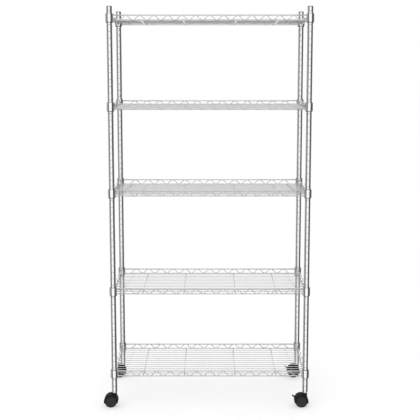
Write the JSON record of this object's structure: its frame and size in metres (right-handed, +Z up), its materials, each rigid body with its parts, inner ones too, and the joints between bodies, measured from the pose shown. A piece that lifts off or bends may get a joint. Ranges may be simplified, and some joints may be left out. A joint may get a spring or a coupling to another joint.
{
  "type": "wire shelving rack",
  "caption": "Five-tier wire shelving rack with grooved round posts, zigzag-braced shelf edges, tapered corner collars and twin-wheel swivel casters with brake tabs.",
  "frame": {"origin": "on the floor, in the centre of the footprint with the casters trailing to the left; the post rectangle's centre is 13 mm to the right of it", "axes": "+Z up, +X to the right along the shelves' long side, the front at -Y"},
  "size_m": [0.8044, 0.3744, 1.551],
  "materials": {
    "chrome_posts": "bright chrome plate",
    "chrome_collars": "bright chrome plate",
    "chrome_wire": "bright chrome plate on drawn wire",
    "zinc_fasteners": "zinc plated",
    "cap_plastic": "moulded, light grey",
    "sleeve_plastic": "moulded, dark",
    "black_nylon": "moulded nylon, fine grain",
    "wheel_nylon": "moulded nylon, slightly glossy"
  },
  "bodies": {
    "rack": {"post_front_left_lower": "chrome_posts", "post_front_left_upper": "chrome_posts", "post_front_right_lower": "chrome_posts", "post_front_right_upper": "chrome_posts", "post_back_left_lower": "chrome_posts", "post_back_left_upper": "chrome_posts", "post_back_right_lower": "chrome_posts", "post_back_right_upper": "chrome_posts", "tube_inserts": "zinc_fasteners", "joint_studs": "zinc_fasteners", "post_caps": "cap_plastic", "caster_stems": "zinc_fasteners", "shelf_1_collars": "chrome_collars", "shelf_1_sleeves": "sleeve_plastic", "shelf_1_rails": "chrome_wire", "shelf_1_snakes": "chrome_wire", "shelf_1_deck": "chrome_wire", "shelf_2_collars": "chrome_collars", "shelf_2_sleeves": "sleeve_plastic", "shelf_2_rails": "chrome_wire", "shelf_2_snakes": "chrome_wire", "shelf_2_deck": "chrome_wire", "shelf_3_collars": "chrome_collars", "shelf_3_sleeves": "sleeve_plastic", "shelf_3_rails": "chrome_wire", "shelf_3_snakes": "chrome_wire", "shelf_3_deck": "chrome_wire", "shelf_4_collars": "chrome_collars", "shelf_4_sleeves": "sleeve_plastic", "shelf_4_rails": "chrome_wire", "shelf_4_snakes": "chrome_wire", "shelf_4_deck": "chrome_wire", "shelf_5_collars": "chrome_collars", "shelf_5_sleeves": "sleeve_plastic", "shelf_5_rails": "chrome_wire", "shelf_5_snakes": "chrome_wire", "shelf_5_deck": "chrome_wire"},
    "front_left_hood": {"caster_front_left_hood": "black_nylon", "caster_front_left_axle": "zinc_fasteners"},
    "front_left_wheel_front": {"caster_front_left_wheel_front": "wheel_nylon"},
    "front_left_wheel_back": {"caster_front_left_wheel_back": "wheel_nylon"},
    "front_right_hood": {"caster_front_right_hood": "black_nylon", "caster_front_right_axle": "zinc_fasteners", "caster_front_right_brake_pin": "zinc_fasteners"},
    "front_right_wheel_front": {"caster_front_right_wheel_front": "wheel_nylon"},
    "front_right_wheel_back": {"caster_front_right_wheel_back": "wheel_nylon"},
    "front_right_brake_pedal": {"caster_front_right_brake_pedal": "black_nylon"},
    "back_left_hood": {"caster_back_left_hood": "black_nylon", "caster_back_left_axle": "zinc_fasteners"},
    "back_left_wheel_front": {"caster_back_left_wheel_front": "wheel_nylon"},
    "back_left_wheel_back": {"caster_back_left_wheel_back": "wheel_nylon"},
    "back_right_hood": {"caster_back_right_hood": "black_nylon", "caster_back_right_axle": "zinc_fasteners", "caster_back_right_brake_pin": "zinc_fasteners"},
    "back_right_wheel_front": {"caster_back_right_wheel_front": "wheel_nylon"},
    "back_right_wheel_back": {"caster_back_right_wheel_back": "wheel_nylon"},
    "back_right_brake_pedal": {"caster_back_right_brake_pedal": "black_nylon"}
  },
  "joints": [
    {"name": "front_left_swivel", "type": "hinge", "parent": "rack", "child": "front_left_hood", "pos_m": [-0.361, -0.165, 0.04], "axis": [0, 0, 1], "continuous": true},
    {"name": "front_left_wheel_front_spin", "type": "hinge", "parent": "front_left_hood", "child": "front_left_wheel_front", "pos_m": [-0.375, -0.165, 0.0235], "axis": [0, 1, 0], "continuous": true},
    {"name": "front_left_wheel_back_spin", "type": "hinge", "parent": "front_left_hood", "child": "front_left_wheel_back", "pos_m": [-0.375, -0.165, 0.0235], "axis": [0, 1, 0], "continuous": true},
    {"name": "front_right_swivel", "type": "hinge", "parent": "rack", "child": "front_right_hood", "pos_m": [0.387, -0.165, 0.04], "axis": [0, 0, 1], "continuous": true},
    {"name": "front_right_wheel_front_spin", "type": "hinge", "parent": "front_right_hood", "child": "front_right_wheel_front", "pos_m": [0.373, -0.165, 0.0235], "axis": [0, 1, 0], "continuous": true},
    {"name": "front_right_wheel_back_spin", "type": "hinge", "parent": "front_right_hood", "child": "front_right_wheel_back", "pos_m": [0.373, -0.165, 0.0235], "axis": [0, 1, 0], "continuous": true},
    {"name": "front_right_brake", "type": "hinge", "parent": "front_right_hood", "child": "front_right_brake_pedal", "pos_m": [0.35655, -0.165, 0.033], "axis": [0, -1, 0], "range_deg": [0, 18]},
    {"name": "back_left_swivel", "type": "hinge", "parent": "rack", "child": "back_left_hood", "pos_m": [-0.361, 0.165, 0.04], "axis": [0, 0, 1], "continuous": true},
    {"name": "back_left_wheel_front_spin", "type": "hinge", "parent": "back_left_hood", "child": "back_left_wheel_front", "pos_m": [-0.375, 0.165, 0.0235], "axis": [0, 1, 0], "continuous": true},
    {"name": "back_left_wheel_back_spin", "type": "hinge", "parent": "back_left_hood", "child": "back_left_wheel_back", "pos_m": [-0.375, 0.165, 0.0235], "axis": [0, 1, 0], "continuous": true},
    {"name": "back_right_swivel", "type": "hinge", "parent": "rack", "child": "back_right_hood", "pos_m": [0.387, 0.165, 0.04], "axis": [0, 0, 1], "continuous": true},
    {"name": "back_right_wheel_front_spin", "type": "hinge", "parent": "back_right_hood", "child": "back_right_wheel_front", "pos_m": [0.373, 0.165, 0.0235], "axis": [0, 1, 0], "continuous": true},
    {"name": "back_right_wheel_back_spin", "type": "hinge", "parent": "back_right_hood", "child": "back_right_wheel_back", "pos_m": [0.373, 0.165, 0.0235], "axis": [0, 1, 0], "continuous": true},
    {"name": "back_right_brake", "type": "hinge", "parent": "back_right_hood", "child": "back_right_brake_pedal", "pos_m": [0.35655, 0.165, 0.033], "axis": [0, -1, 0], "range_deg": [0, 18]}
  ]
}
